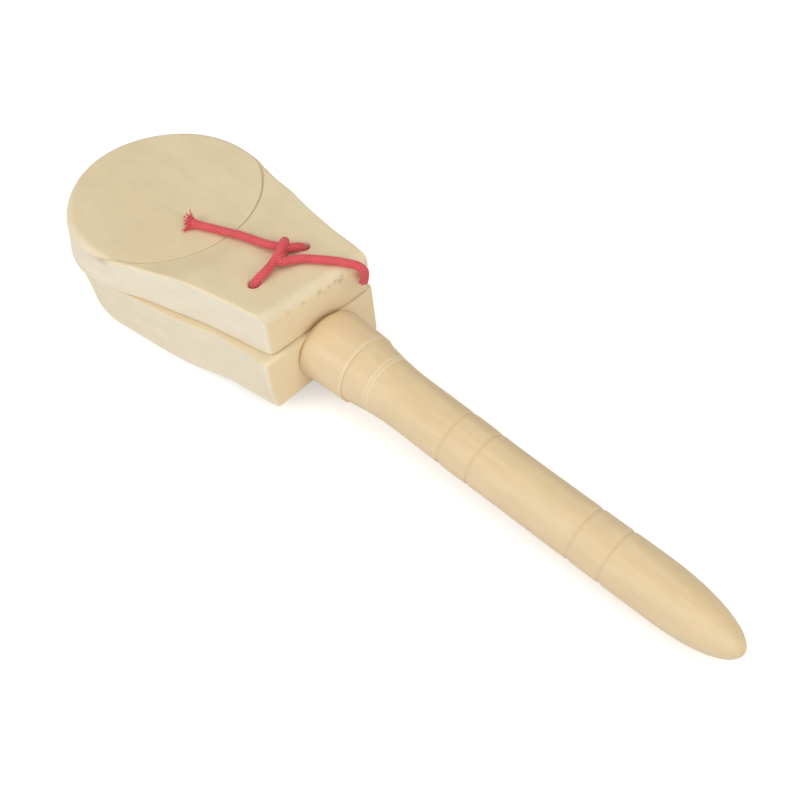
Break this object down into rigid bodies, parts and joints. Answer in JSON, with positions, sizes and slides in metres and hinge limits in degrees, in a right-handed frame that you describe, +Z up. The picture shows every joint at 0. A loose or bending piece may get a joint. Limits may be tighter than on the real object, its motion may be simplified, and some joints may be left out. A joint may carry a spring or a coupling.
{
  "type": "handled castanet",
  "caption": "Long-handled wooden castanet with a fixed shell, a loose clapper shell and a red elastic cord.",
  "frame": {"origin": "middle of the flat disc face on the fixed shell's underside, which the castanet lies on", "axes": "+Z up, out of the resting plane; +X from the shells towards the handle's tip; +Y across the shells"},
  "size_m": [0.234, 0.0572, 0.0415],
  "materials": {
    "shell_wood": "matte",
    "handle_wood": "satin",
    "red_elastic": "matte"
  },
  "bodies": {
    "fixed": {"handle": "handle_wood", "fixed_shell": "shell_wood"},
    "cord": {"elastic_cord": "red_elastic"},
    "clapper": {"clapper_shell": "shell_wood"}
  },
  "joints": [
    {"name": "cord_twist", "type": "hinge", "parent": "fixed", "child": "cord", "pos_m": [0.04938, 0, 0.02078], "axis": [-0.0279, 0, 0.9996], "range_deg": [-2, 2], "stiffness_Nm_per_rad": 0.05},
    {"name": "clapper_open", "type": "hinge", "parent": "cord", "child": "clapper", "pos_m": [0.06248, 0.0004, 0.02122], "axis": [0.0593, 0.9982, 0.0017], "range_deg": [0, 18], "stiffness_Nm_per_rad": 0.15, "deforming": ["elastic_cord"]}
  ]
}
